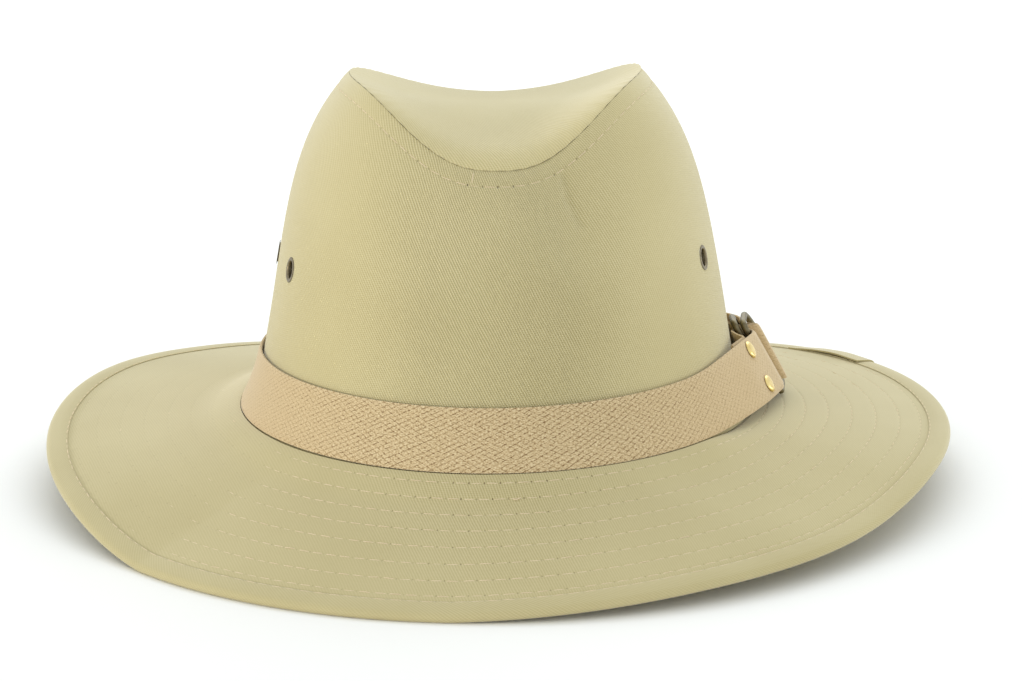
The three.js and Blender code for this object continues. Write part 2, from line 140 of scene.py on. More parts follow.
# Webbing band; along is measured round the crown from the rings, toward the back
TURN_LENGTH = FULL_TURN * CROWN_BASE["length"]
WEB = 1.2
BAND_WIDTH = 19.0
BAND_LOW = 1.6
BAND_OUT = 1.2
HUG = {"near": 0.2, "far": 2.5}
BUCKLE = {"angle": -1.0, "lift": 1.9, "strap_rise": 0.8, "cant": 4.2, "level": 20.0, "reach": 75.0}
WIRE = 2.2
RING_SPACING = 2.8
BARS_OUT = 4.5
PLY_GAP = 0.45
LOOP_GAP = 0.45
TOUCH_ALONG = -53.0
TAUT_SLOPE = 366.0
RIVET_ALONG = -17.0
TAUT_STOPS = [-4, -9, -13, RIVET_ALONG, -20, -26, -32, -39, -46]
TAIL_STOPS = [-25, -20, -13, -10.5]
TAIL_BEND = [(-7, 2.8), (-3.2, 1.5)]
STRAP_ROUTE = [
    (24, 1.2), (14, 1.2), (9.5, 1.2), (7.4, 1.6), (6.2, 3.2), (5.8, 5), (5.7, 7.2), (6, 9.6),
    (6.9, 10.4), (7.8, 9.6), (8.3, 8), (9.4, 6.7), (11.4, 6), (14, 6), (20, 6.6), (26, 5.6),
    (34, 3.6), (44, 2.9), (62, 2.9),
]
LOOP_STEP = 30
WRAP_STEPS = 56
ROUTE_STEPS = 40

# Weave of the band, whose inner face keeps only some of its rows
WEAVE_CELL = 3.1
WEAVE_ROW = 1.632
WEAVE_ROWS = 12.5
WEAVE_RELIEF = 0.05
WEAVE_DEPTH = 0.09
BAND_ROWS = 50
INNER_STEP = 6
STEPS_PER_CELL = 4
SELVEDGE = {"thin": 0.45, "width": 1.2}

# Metal; profiles are (radius, height), and a rivet's heights count outward from the webbing's faces
RING = {"clear": 25.0, "rise": -0.25, "depth": 20.0, "straight": 12.0, "corner": 2.9}
RING_GRID = {"steps": 168, "sides": 18, "corner": 12, "bow": 60}
RINGS = [
    {"node": "d_ring_inner", "stack": -0.5, "tilt": 0.0},
    {"node": "d_ring_outer", "stack": 0.5, "tilt": 7.0},
]
RIVETS = [{"node": "rivet_upper", "across": 6.5}, {"node": "rivet_lower", "across": -6.5}]
EYELETS = [
    {"node": "eyelet_right_front", "angle": -23, "height": 54},
    {"node": "eyelet_right_rear", "angle": 5, "height": 54},
    {"node": "eyelet_left_front", "angle": 203, "height": 52},
    {"node": "eyelet_left_rear", "angle": 182, "height": 52},
]
EYELET_CUTTER = [(0.01, -5), (3.6, -5), (3.6, 5), (0.01, 5)]
EYELET_PROFILE = [
    (2.65, -1.9), (3.0, -2.25), (3.5, -2.35), (4.0, -2.2), (4.2, -1.85), (4.1, -1.6), (3.3, -1.55),
    (3.3, 0.02), (3.9, 0.03), (4.1, 0.05), (4.15, 0.1), (4.0, 0.18), (3.6, 0.25), (3.2, 0.22),
    (3.0, 0.08), (2.85, -0.15), (2.8, -0.5), (2.75, -1.4),
]
RIVET_BACK = [(0.02, 0.7), (2.0, 0.7), (2.35, 0.45), (2.4, 0.1), (1.2, 0.0)]
RIVET_HEAD = [
    (1.2, 0.0), (2.85, 0.02), (3.0, 0.15), (2.97, 0.4), (2.75, 0.66), (2.2, 0.86), (1.4, 0.95),
    (0.7, 0.98), (0.02, 0.98),
]
LATHE_SIDES = 40
AXIS_STEP = 0.5
SHARP_ANGLE = 50.0

# Twill by part: lean of its lines, depth of its ridges, how much paler their crests are, and the palest
# tone of its dye
# The palest tone differs between parts as painted light and shade: darker on the brim and binding, paler
# on the tip
TWILL = {
    "crown": {"angle": 62.0, "depth": 0.1, "contrast": 0.66, "dye_and_painted_tone": 247},
    "tip": {"angle": 60.0, "depth": 0.05, "contrast": 0.32, "dye_and_painted_tone": 252},
    "brim": {"angle": 73.0, "depth": 0.02, "contrast": 0.36, "dye_and_painted_tone": 240},
    "binding": {"angle": 38.0, "depth": 0.02, "contrast": 0.4, "dye_and_painted_tone": 239},
}
TWILL_SPACING = 0.81
YARN_TURN = 9.0
YARN = {"sway": 0.5, "floats": 0.45, "grain": 0.6, "middle": 0.8}

# Colours are red, green and blue from 0 to 255, from dark to pale
# The khaki goes from the twill's valleys to its crests; its spread is partly the yarn's own tone and
# partly painted shading of raking side light
KHAKI = [(185, 172, 125), (204, 192, 147), (218, 207, 164)]
DYE_DIP = (8, 9, 13)
# The webbing's darker tans are partly painted shade in the hollows between its cells
TAN_AND_HOLLOW_SHADE = [(130, 102, 68), (195, 171, 131), (226, 208, 170)]
# Painted shade inside the needle holes
PAINTED_HOLE_SHADE = (96, 78, 48)

# Needle holes: their shape, how dark the shade painted into them is, how deep they are, and how many are
# fainter
HOLE = {"narrow": 1.35, "tall": 0.75, "dark": 0.03, "clear": 0.16, "tint": 0.75, "depth": 3.0}
HOLE_CHANCE = {"patch": 260.0, "low": 0.4, "high": 0.6, "least": 0.3}

# Webbing: how far its cells wander, the hollows between them, whose darkness is painted shade, and the
# flecks of its yarns
CELL_SWAY = {"along": 0.9, "up": 0.5}
HOLLOW = {"fineness": 4.0, "low": 0.35, "high": 0.65}
DASH_SHARE = (0.15, 0.95)
CROSS_SHARE = (0.05, 0.7)
FLECK = {"strength": 2.2, "shift": -0.6, "middle": 0.34}

# A weave reads fully near the front and the back of the crown, and less toward its sides; in the twill's
# colour this is painted shading of side light raking over its ridges
WEAVE_SHOWS = {"centre": (0, 90, 60), "stretch": (1.0, 0.5, 0.35), "least": 0.3}
TWILL_SHOWS = {"near": 22.0, "far": 52.0}
WEBBING_SHOWS = {"near": 40.0, "far": 85.0}

# Noise over flat cloth: how fine it is each way, and its detail
PATCHES = {
    "wander": (0.3, 0.12, 2.0),
    "slub": (1.4, 0.4, 3.0),
    "grain": (2.6, 1.6, 2.0),
    "dye_and_painted_tone": (0.02, 0.02, 3.0),
    "cells_along": (1.0, 1.2, 2.0),
    "cells_up": (0.9, 1.4, 2.0),
    "hollows": (0.4, 0.7, 2.0),
    "yarn": (1.5, 3.0, 3.0),
}
NOISE_SPAN = (0.3, 0.7)

# Finishes
FABRIC = {"Roughness": 0.92, "Specular IOR Level": 0.15, "Sheen Weight": 0.5, "Sheen Roughness": 0.4}
SHEEN = {"twill": (255, 252, 244), "webbing": (255, 248, 238), "thread": (255, 250, 240)}
FIBRE = {"patch": 2500.0, "detail": 2.0, "tones": [(206, 188, 153), (228, 211, 180)]}
METALS = {
    "antique_metal": {"tones": [(92, 84, 62), (134, 124, 98)], "roughness": 0.4, "patch": 900.0},
    "eyelet_metal": {"tones": [(112, 101, 78), (146, 134, 110)], "roughness": 0.4, "patch": 900.0},
    "gold_metal": {"tones": [(232, 204, 130), (246, 224, 160)], "roughness": 0.3, "patch": 500.0},
}
WEAR = {"detail": 4.0, "smoother": 0.08, "rougher": 0.1, "depth": 0.1, "strength": 0.05}

# Studio
CAMERA = {"place": (-3.2, -1017.23, 291.04), "aim": (4.67, 0.0, 43.25), "roll": 0.76, "lens": 109.11}
SENSOR = 36.0
FLOOR = {"half": 12000.0, "patch": 3.0, "detail": 2.0, "tones": [(248, 248, 247), (251, 251, 250)]}
FLOOR_FINISH = {"Roughness": 0.95, "Specular IOR Level": 0.1}
LIGHTS = {
    "left": {"place": (-4500, -1860, 240), "size": (3000, 440), "power": 84.0, "colour": (255, 249, 239)},
    "right": {"place": (4500, -150, 240), "size": (4200, 440), "power": 34.5, "colour": (250, 252, 250)},
    "back": {"place": (300, 1300, 1250), "size": (1800, 1800), "power": 14.0, "colour": (246, 251, 255)},
}
ROOM_LIGHT = {"strength": 0.94, "colour": (251, 254, 253)}


# Small maths

def lerp(start, end, share):
    return start + (end - start) * share


def smooth(value, low, high):
    share = np.clip((value - low) / (high - low), 0, 1)
    return share * share * (3 - 2 * share)


def unit(vectors):
    return vectors / np.linalg.norm(vectors, axis=-1, keepdims=True)


def bump(distance, width):
    return np.exp(-(distance / width) ** 2)


def groove(shape, distance):
    return shape["depth"] * bump(distance, shape["width"])


def joined(*parts):
    """Parts side by side in a new last axis, each spread to the same shape first."""
    return np.stack(np.broadcast_arrays(*parts), -1)


def each(values):
    """Values with one more axis, so that they scale or mix whole points."""
    return np.asarray(values)[..., None]


def along_route(places, marks, points):
    """Points of a route at places on the scale of its marks."""
    return joined(*(np.interp(places, marks, column) for column in points.T))


def round_angles(count):
    """Angles once round the hat from its back, with the first one again at the end."""
    return np.linspace(BACK, BACK + FULL_TURN, count + 1)


def running_length(points):
    steps = np.linalg.norm(np.diff(points, axis=0), axis=-1)
    return np.concatenate([np.zeros_like(steps[:1]), np.cumsum(steps, axis=0)])


# Crown's shape

def join_height(angle):
    return JOIN_RISE * np.cos(angle) ** 2


def seam_height(angle):
    front = np.sin(angle) < 0
    low, power, rounding = (np.where(front, FRONT_DIP[key], BACK_DIP[key]) for key in FRONT_DIP)
    rise = np.abs(np.cos(angle)) ** power
    climb = lerp(rise, np.sin(math.pi / 2 * rise) ** 2, rounding)
    return lerp(low, RIDGE_HEIGHT, climb)


def wall_height(angle):
    return seam_height(angle) - join_height(angle)


def turn_from(angle, degrees):
    turn = angle - math.radians(degrees)
    return np.arctan2(np.sin(turn), np.cos(turn))


def pinch_depth(angle, level):
    depth = 0.0
    for pinch in PINCHES:
        across = turn_from(angle, pinch["angle"]) / math.radians(pinch["angle_spread"])
        up = (level - pinch["level"]) / pinch["level_spread"]
        depth = depth + pinch["depth"] * np.exp(-(across ** 2) - up ** 2)
    return depth


def crown_halves(angle, level):
    """Half width and half length of the crown's outside between its base (0) and the seam (1)."""
    lean = CROWN_LEAN["straight"] * level + (1 - CROWN_LEAN["straight"]) * level ** CROWN_LEAN["power"]
    height = level * wall_height(angle)
    flare = BASE_FLARE["out"] * np.maximum(0, 1 - height / BASE_FLARE["height"]) ** 2
    outward = flare - pinch_depth(angle, level)
    width = lerp(CROWN_BASE["width"], CROWN_TOP["width"], lean) + outward
    length = lerp(CROWN_BASE["length"], CROWN_TOP["length"], lean) + outward
    return width, length


def crown_point(angle, level, inset=0.0):
    width, length = crown_halves(angle, level)
    height = lerp(join_height(angle), seam_height(angle), level)
    x = (width - inset) * np.cos(angle) + CROWN_SWAY * level
    y = (length - inset) * np.sin(angle)
    return joined(x, y, height - inset * level)


def level_at(angle, height):
    return height / wall_height(angle)


def to_world(points):
    """From the crown's leaning frame to the hat's own."""
    lean = math.radians(-CROWN_PITCH)
    y = points[..., 1] * math.cos(lean) - points[..., 2] * math.sin(lean)
    z = points[..., 1] * math.sin(lean) + points[..., 2] * math.cos(lean) + CROWN_LIFT
    return joined(points[..., 0], y, z)


def wall_slant(angle):
    """Length of the wall for one whole level, measured just below the seam."""
    near = 0.95
    return np.linalg.norm(crown_point(angle, 1.0) - crown_point(angle, near), axis=-1) / (1 - near)


def level_below_seam(angle, fall):
    return 1 - fall / wall_slant(angle)


def crease_distance(angle, height):
    """Distance on the wall from the soft crease, with its ends left open."""
    scale = CROWN_TOP["length"]
    here = joined(angle * scale, height)
    route = [np.array([math.radians(degrees) * scale, high]) for degrees, high in CREASE_ROUTE]
    best = np.full(height.shape, np.inf)
    for start, end in zip(route, route[1:]):
        span = end - start
        share = np.clip(((here - start) @ span) / (span @ span), 0, 1)
        best = np.minimum(best, np.linalg.norm(here - start - each(share) * span, axis=-1))
    return best


def crown_relief(angle, level):
    """How far the cloth of the side stands out from the plain wall."""
    fall = (1 - level) * wall_slant(angle)
    height = level * wall_height(angle)
    puff = SEAM_PUFF * np.sin(math.pi * np.clip(fall / TOPSTITCH_FALL, 0, 1))
    stitched = groove(TOPSTITCH_GROOVE, fall - TOPSTITCH_FALL)
    roll = groove(SEAM_ROLL, fall)
    front_angle = np.where(angle > math.pi, angle - FULL_TURN, angle)
    crease = groove(CREASE, crease_distance(front_angle, height))
    back_seam = groove(BACK_SEAM, turn_from(angle, math.degrees(BACK)) * CROWN_BASE["width"])
    drape = 0.0
    for wave in WAVES:
        turn = wave["turns"] * angle + wave["rise"] * height + wave["phase"]
        drape = drape + wave["height"] * np.sin(turn)
    drape = drape * smooth(height, WAVES_FADE["from"], WAVES_FADE["to"])
    return puff - stitched - roll - crease - back_seam + drape


def crown_outside(angle, level):
    plain = crown_point(angle, level)
    return plain + each(crown_relief(angle, level)) * wall_normal(angle, level)


def wall_normal(angle, level):
    nudge = 0.01
    along = crown_point(angle + nudge, level) - crown_point(angle - nudge, level)
    up = crown_point(angle, level + nudge) - crown_point(angle, level - nudge)
    return unit(np.cross(along, up))


def world_normal(angle, level):
    return to_world(wall_normal(angle, level)) - to_world(np.zeros(3))


def tip_point(angle, reach, inset):
    rim = reach ** TIP_ROLL["power"]
    toward_front = np.maximum(0, -np.sin(angle)) ** 2
    roll = lerp(TIP_ROLL["side"], TIP_ROLL["front"], toward_front) * 4 * rim * (1 - rim)
    height = lerp(DENT["floor"], seam_height(angle), reach ** DENT["power"]) + roll
    width, length = crown_halves(angle, 1.0)
    x = (width - inset) * np.cos(angle) * reach + CROWN_SWAY
    y = (length - inset) * np.sin(angle) * reach
    return joined(x, y, height - inset + TIP_LIFT)


# Brim's shape

def edge_height(angle):
    """A smooth closed curve through the table of edge heights, flattened where the brim rests."""
    table = np.array(EDGE_HEIGHTS)
    count = len(table)
    place = (angle / FULL_TURN % 1) * count
    row = np.floor(place).astype(int)
    f = place - row
    a, b, c, d = (table[(row + step) % count] for step in (-1, 0, 1, 2))
    curve = b + 0.5 * f * (c - a + f * (2 * a - 5 * b + 4 * c - d + f * (3 * (b - c) + d - a)))
    return np.maximum(BRIM_REST, curve)


def brim_middle(angle, reach):
    """Middle of the brim's thickness, from the head opening (reach 0) to the edge (reach 1)."""
    inner = to_world(crown_point(angle, 0.0, CLOTH))
    inner[..., 2] -= BRIM_THICK / 2
    x = BRIM_EDGE["width"] * np.cos(angle)
    y = BRIM_EDGE["length"] * np.sin(angle)
    outer = joined(x, y, edge_height(angle))
    return lerp(inner, outer, each(reach))


def brim_across(angle):
    """From the head opening straight to the brim's edge."""
    return brim_middle(angle, 1.0) - brim_middle(angle, 0.0)


def brim_axes(angle, reach):
    nudge = 0.01
    outward = unit(brim_across(angle))
    along = brim_middle(angle + nudge, reach) - brim_middle(angle - nudge, reach)
    return outward, unit(np.cross(outward, along))


def brim_span(angle):
    return np.linalg.norm(brim_across(angle), axis=-1)


def row_distance(angle, reach):
    """Distance in millimetres from the nearest row of stitches on the brim."""
    apart = np.abs(each(reach) - np.array(BRIM_ROWS))
    return apart.min(-1) * brim_span(angle)


def cove_height(angle, reach):
    """How far the brim's upper face curves up to the band; less where the rings stand over it."""
    rise = lerp(COVE["side"], COVE["front"], np.sin(angle) ** 2)
    from_buckle = np.degrees(np.abs(turn_from(angle, BUCKLE["angle"])))
    rise = lerp(COVE["buckle"], rise, smooth(from_buckle, COVE_ARC["near"], COVE_ARC["far"]))
    climb = smooth(reach, COVE["start"], COVE["full"])
    return rise * climb * (1 - smooth(reach, COVE["full"], COVE["end"]))


def brim_face(angle, reach, side):
    """The brim's upper (side 1) or lower (side -1) face, drawn in along its rows of stitches."""
    _, normal = brim_axes(angle, reach)
    from_tape = (1 - reach) * brim_span(angle) - BINDING_WIDTH
    pulled = (1 + np.cos(turn_from(angle, QUILT["angle"]))) / 2
    pull = lerp(QUILT["least"], QUILT["most"], pulled ** QUILT["power"])
    relief = -pull * bump(row_distance(angle, reach), QUILT["width"])
    relief = relief - groove(DITCH, from_tape - DITCH["inside"])
    point = brim_middle(angle, reach) + normal * each(side * (BRIM_THICK / 2 + relief))
    if side > 0:
        point[..., 2] += cove_height(angle, reach)
    point[..., 2] = np.maximum(point[..., 2], LOWEST_BRIM)
    return point


def binding_point(angle, beyond, above):
    """A point beside the brim's edge: beyond it along the brim, and above or below its middle."""
    outward, normal = brim_axes(angle, 1.0)
    point = brim_middle(angle, 1.0) + outward * each(beyond) + normal * each(above)
    point[..., 2] = np.maximum(point[..., 2], 0.0)
    return point


# Band's shape

def band_point(along, out, across):
    """A point on the middle of the webbing; across goes from its lower edge (0) to its upper one (1)."""
    angle = math.radians(BUCKLE["angle"]) + along / CROWN_BASE["length"]
    turns = np.round(along / TURN_LENGTH)
    nearness = 1 - smooth(np.abs(along - TURN_LENGTH * turns), BUCKLE["level"], BUCKLE["reach"])
    lift = BUCKLE["lift"] + np.where(turns == 0, 0.0, BUCKLE["strap_rise"])
    bottom = BAND_LOW + lift * nearness
    outward = unit(joined(np.cos(angle) / CROWN_BASE["width"], np.sin(angle) / CROWN_BASE["length"], 0.0))
    low = crown_point(angle, level_at(angle, bottom))
    high = crown_point(angle, level_at(angle, bottom + BAND_WIDTH))
    wall = crown_point(angle, level_at(angle, bottom + BAND_WIDTH * across))
    straight = lerp(low, high, each(across))
    hugging = 1 - smooth(out, BAND_OUT + HUG["near"], BAND_OUT + HUG["far"])
    cloth = lerp(straight, wall, each(hugging))
    stand = out + BUCKLE["cant"] * nearness * (1 - across)
    return cloth + outward * each(stand)


def taut_out(along):
    return BAND_OUT + (along - TOUCH_ALONG) ** 2 / TAUT_SLOPE


def band_stops():
    """Stops (along, out) of the webbing, from its folded tail round the crown to its free end."""
    ply = WEB + PLY_GAP
    radius = (RING_SPACING + WIRE + WEB) / 2 + LOOP_GAP
    tail = [(along, taut_out(along) - ply) for along in TAIL_STOPS]
    turns = np.radians(np.arange(-90, 91, LOOP_STEP))
    loop = [(radius * math.cos(turn), BARS_OUT + radius * math.sin(turn)) for turn in turns]
    taut = [(along, taut_out(along)) for along in TAUT_STOPS]
    last = STRAP_ROUTE[0][0] - TURN_LENGTH
    wrap = [(lerp(TOUCH_ALONG, last, i / WRAP_STEPS), BAND_OUT) for i in range(WRAP_STEPS)]
    strap = [(along - TURN_LENGTH, out) for along, out in STRAP_ROUTE]
    return np.array(tail + TAIL_BEND + loop + taut + wrap + strap, float)


def rounded_route(stops, per_span):
    """A centripetal curve through the stops."""
    first = 2 * stops[0] - stops[1]
    last = 2 * stops[-1] - stops[-2]
    padded = np.vstack([first, stops, last])
    knots = np.concatenate([[0], np.cumsum(np.sqrt(np.linalg.norm(np.diff(padded, axis=0), axis=1)))])
    made = []
    for i in range(1, len(padded) - 2):
        p0, p1, p2, p3 = padded[i - 1:i + 3]
        t0, t1, t2, t3 = knots[i - 1:i + 3]
        t = np.linspace(t1, t2, per_span, endpoint=False)[:, None]
        a1 = lerp(p0, p1, (t - t0) / (t1 - t0))
        a2 = lerp(p1, p2, (t - t1) / (t2 - t1))
        a3 = lerp(p2, p3, (t - t2) / (t3 - t2))
        b1 = lerp(a1, a2, (t - t0) / (t2 - t0))
        b2 = lerp(a2, a3, (t - t1) / (t3 - t1))
        made.append(lerp(b1, b2, (t - t1) / (t2 - t1)))
    return np.vstack(made + [stops[-1:]])


def even_route():
    """The webbing's stops (along, out) at even steps of its own length, and those lengths."""
    rough = rounded_route(band_stops(), ROUTE_STEPS)
    middle = band_point(rough[:, 0], rough[:, 1], 0.5)
    length = running_length(middle)
    places = np.arange(0, length[-1], WEAVE_CELL / STEPS_PER_CELL)
    along, out = along_route(places, length, rough).T
    return along, out, places


# Mesh making

def grid_corners(rows, columns, close_rows, close_columns):
    """Rows and columns of the four corners of each quad of a grid."""
    r = np.arange(rows if close_rows else rows - 1)
    c = np.arange(columns if close_columns else columns - 1)
    r, c = (part.ravel() for part in np.meshgrid(r, c, indexing="ij"))
    return joined(r, r, r + 1, r + 1), joined(c, c + 1, c + 1, c)


def new_object(name, points, faces):
    mesh = bpy.data.meshes.new(name)
    mesh.from_pydata((np.asarray(points) * MM).tolist(), [], [list(face) for face in faces])
    made = bpy.data.objects.new(name, mesh)
    bpy.context.scene.collection.objects.link(made)
    return made


def cap_corners(rows, columns, caps):
    """Rows and columns of the corners of the two faces that close a grid's open ends."""
    if caps == "rows":
        ends = [(0, np.arange(columns)[::-1]), (rows - 1, np.arange(columns))]
    elif caps == "columns":
        ends = [(np.arange(rows), 0), (np.arange(rows)[::-1], columns - 1)]
    else:
        ends = []
    return [np.broadcast_arrays(r, c) for r, c in ends]


def grid_object(name, points, uvs, close_rows=False, close_columns=True, caps=None):
    """An object from a grid of points; its UV grids have one more column where its columns close."""
    rows, columns = points.shape[:2]
    corner_rows, corner_columns = grid_corners(rows, columns, close_rows, close_columns)
    quads = (corner_rows % rows) * columns + corner_columns % columns
    ends = cap_corners(rows, columns, caps)
    faces = quads.tolist() + [(r * columns + c).tolist() for r, c in ends]
    made = new_object(name, points.reshape(-1, 3), faces)
    for uv_name, grid in uvs.items():
        quad_uv = grid[corner_rows % rows, corner_columns].reshape(-1, 2)
        values = np.concatenate([quad_uv] + [grid[r, c] for r, c in ends])
        layer = made.data.uv_layers.new(name=uv_name)
        layer.uv.foreach_set("vector", values.astype(np.float32).ravel())
    made.data.shade_smooth()
    made.data.set_sharp_from_angle(angle=math.radians(SHARP_ANGLE))
    return made


def placed(points, matrix):
    return points @ matrix[:3, :3].T + matrix[:3, 3]


def lathe_object(name, profile, matrix):
    """A closed profile (radius, height) turned about the Z axis of a frame."""
    profile = np.array(profile, float)
    turn = np.linspace(0, FULL_TURN, LATHE_SIDES + 1)[:-1]
    x = profile[:, :1] * np.cos(turn)
    y = profile[:, :1] * np.sin(turn)
    return grid_object(name, placed(joined(x, y, profile[:, 1:]), matrix), {}, close_rows=True)


def frame_matrix(x_axis, y_axis, z_axis, origin):
    made = np.eye(4)
    made[:3, :3] = joined(x_axis, y_axis, z_axis)
    made[:3, 3] = origin
    return made


def facing_matrix(origin, direction):
    z_axis = unit(direction)
    x_axis = unit(np.cross([0.0, 0.0, 1.0], z_axis))
    return frame_matrix(x_axis, np.cross(z_axis, x_axis), z_axis, origin)


def lean_matrix():
    """The crown's leaning frame as a matrix."""
    origin = to_world(np.zeros(3))
    axes = [to_world(axis) - origin for axis in np.eye(3)]
    return frame_matrix(*axes, origin)


def dress(piece, material, slot, *nodes):
    piece.data.materials.append(material)
    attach(piece, "root")
    if nodes:
        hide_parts(*nodes)


# Weave coordinates

def weave_uv(right, up, part):
    """Turns flat cloth coordinates so that U runs across the twill's lines and V along them."""
    lean = math.radians(TWILL[part]["angle"])
    across = right * math.sin(lean) + up * math.cos(lean)
    along = up * math.sin(lean) - right * math.cos(lean)
    return joined(across, along)


def no_stitches(shape):
    return np.full(shape + (2,), NO_STITCH)


# Cloth pieces

def crown_levels():
    split = CROWN_GRID["upper_from"]
    lower = np.linspace(0, split, CROWN_GRID["lower"], endpoint=False)
    return np.concatenate([lower, np.linspace(split, 1, CROWN_GRID["upper"])])


def crown_uv(angle, points):
    """The side panel laid flat, as a strip that curves like a cone's; its points go up from the base."""
    radius = PANEL_RADIUS - running_length(points)
    swing = (angle - BACK - math.pi) * PANEL_GIRTH / PANEL_RADIUS
    return weave_uv(radius * np.sin(swing), -radius * np.cos(swing), "crown")


def topstitch_line(angle):
    return to_world(crown_outside(angle, level_below_seam(angle, TOPSTITCH_FALL)))


def stitch_count(line):
    return int(round(running_length(line)[-1] / STITCH_PITCH))


def stitch_phase(line):
    """Place along a row in stitches, so that whole numbers fall on its needle holes."""
    length = running_length(line)
    return length / length[-1] * stitch_count(line)


def crown_side(material):
    angles = round_angles(CROWN_GRID["around"])
    angle, level = np.meshgrid(angles, crown_levels())
    outside = crown_outside(angle, level)
    outside[0, :, 2] += SEAT_GAP
    inner_angle, inner_level = np.meshgrid(angles, np.linspace(1, 0, CROWN_GRID["inside"]))
    inside = crown_point(inner_angle, inner_level, CLOTH)
    inside[-1, :, 2] += SEAT_GAP
    weave = np.concatenate([crown_uv(angle, outside), crown_uv(inner_angle, inside[::-1])[::-1]])
    phase = stitch_phase(topstitch_line(angles))
    gap = np.abs((1 - level) * wall_slant(angle) - TOPSTITCH_FALL)
    stitches = np.concatenate([joined(phase, gap), no_stitches(inner_angle.shape)])
    points = to_world(np.concatenate([outside, inside]))[:, :-1]
    uvs = {"weave": weave, "stitch": stitches}
    piece = grid_object("crown_side_cloth", points, uvs, close_rows=True)
    cut_eyelet_holes(piece)
    dress(piece, material, "twill", "crown_side")


def cut_eyelet_holes(piece):
    cutters = [lathe_object("cutter", EYELET_CUTTER, eyelet_matrix(row)) for row in EYELETS]
    for cutter in cutters:
        cut = piece.modifiers.new(cutter.name, "BOOLEAN")
        cut.operation = "DIFFERENCE"
        cut.solver = "EXACT"
        cut.object = cutter
    graph = bpy.context.evaluated_depsgraph_get()
    mesh = bpy.data.meshes.new_from_object(piece.evaluated_get(graph))
    piece.modifiers.clear()
    piece.data = mesh
    for cutter in cutters:
        bpy.data.objects.remove(cutter)


def tip_over(angle, reach):
    """The top panel's upper face, rolled down into the seam and a little puckered along it."""
    point = tip_point(angle, reach, 0.0)
    width, length = crown_halves(angle, 1.0)
    fall = (1 - reach) * np.minimum(width, length)
    pucker = TIP_PUCKER["height"] * np.sin(TIP_PUCKER["count"] * angle) * bump(fall, TIP_PUCKER["reach"])
    point[..., 2] += pucker - groove(SEAM_ROLL, fall)
    return point


def crown_tip(material):
    angles = round_angles(TIP_GRID["around"])
    first = TIP_GRID["first"]
    under_reach = np.linspace(first, 1, TIP_GRID["under"])
    crowd = TIP_GRID["crowd"]
    over_reach = 1 - np.linspace(0, 1 - first, TIP_GRID["over"]) ** crowd / (1 - first) ** (crowd - 1)
    under = tip_point(*np.meshgrid(angles, under_reach), CLOTH)
    over = tip_over(*np.meshgrid(angles, over_reach))
    points = np.concatenate([under, over])
    weave = weave_uv(points[..., 0], points[..., 1], "tip")
    uvs = {"weave": weave, "stitch": no_stitches(weave.shape[:2])}
    piece = grid_object("crown_tip_cloth", to_world(points)[:, :-1], uvs, caps="rows")
    dress(piece, material, "twill", "crown_tip")


def brim_reaches():
    """Grid lines across the brim, closest together along the rows of stitches."""
    span = brim_span(round_angles(BRIM_GRID["around"])).mean()
    steps = np.array(BRIM_GRID["steps"]) / span
    rows = (np.array(BRIM_ROWS)[:, None] + steps).ravel()
    ditch = 1 - (BINDING_WIDTH + BRIM_GRID["ditch_steps"]) / span
    return np.unique(np.concatenate([BRIM_GRID["ends"], rows[rows < ditch.min()], ditch]))


def brim_stitch_uv(angle, reach):
    nearest = np.abs(each(reach) - np.array(BRIM_ROWS)).argmin(-1)
    angles = angle[0]
    phases = np.stack([stitch_phase(brim_face(angles, row, 1)) for row in BRIM_ROWS])
    phase = phases[nearest, np.arange(angle.shape[1])]
    return joined(phase, row_distance(angle, reach))


def brim(material):
    angles = round_angles(BRIM_GRID["around"])
    angle, reach = np.meshgrid(angles, brim_reaches())
    over = brim_face(angle, reach, 1)[::-1]
    under = brim_face(angle, reach, -1)
    points = np.concatenate([under, over])
    weave = weave_uv(points[..., 0], points[..., 1], "brim")
    stitches = brim_stitch_uv(angle, reach)
    stitches = np.concatenate([stitches, stitches[::-1]])
    uvs = {"weave": weave, "stitch": stitches}
    piece = grid_object("brim_cloth", points[:, :-1], uvs, close_rows=True)
    dress(piece, material, "twill", "brim")


def binding_section():
    """The tape's section as rows (beyond, above the brim's middle): round the edge, then back inside."""
    inside = BRIM_THICK / 2 + BINDING_GAP
    outside = inside + TAPE
    top = [(beyond - BINDING_WIDTH, inside + thick) for beyond, thick in PRESSED_EDGE]
    top.append((TAPE_FLAT_TO, outside))
    turns = np.radians(np.linspace(90, -90, EDGE_STEPS))
    edge = [(outside * math.cos(turn), outside * math.sin(turn)) for turn in turns]
    bottom = [(beyond, -above) for beyond, above in reversed(top)]
    inner = [(BINDING_GAP - BINDING_WIDTH, -inside), (BINDING_GAP, -inside), (BINDING_GAP, inside)]
    return np.array(top + edge + bottom + inner)


def binding_row_line(angles, side):
    above = side * (BRIM_THICK / 2 + BINDING_GAP + BINDING_PRESSED - SIDE_SINK["right"])
    return binding_point(angles, BINDING_ROW, above)


def brim_binding(material):
    angles = round_angles(BINDING_AROUND)
    section = binding_section()[::-1]
    beyond = section[:, :1]
    points = binding_point(angles, beyond, section[:, 1:])
    along = running_length(binding_point(angles, 0.0, 0.0))
    weave = weave_uv(along, running_length(section)[:, None], "binding")
    phase = stitch_phase(binding_row_line(angles, 1))
    uvs = {"weave": weave, "stitch": joined(phase, np.abs(beyond - BINDING_ROW))}
    piece = grid_object("brim_binding_tape", points[:, :-1], uvs, close_rows=True)
    dress(piece, material, "twill", "brim_binding")


def lap_section(under, over):
    """The lapped end's section: outside round the edge, then back along its inner face."""
    turns = np.radians(np.linspace(-90, 90, EDGE_STEPS))
    outer = [(over * math.cos(turn), over * math.sin(turn)) for turn in turns]
    inner = [(under * math.cos(turn), under * math.sin(turn)) for turn in turns[::-1]]
    reach = -BINDING_WIDTH
    return [(reach, -over)] + outer + [(reach, over), (reach, under)] + inner + [(reach, -under)]


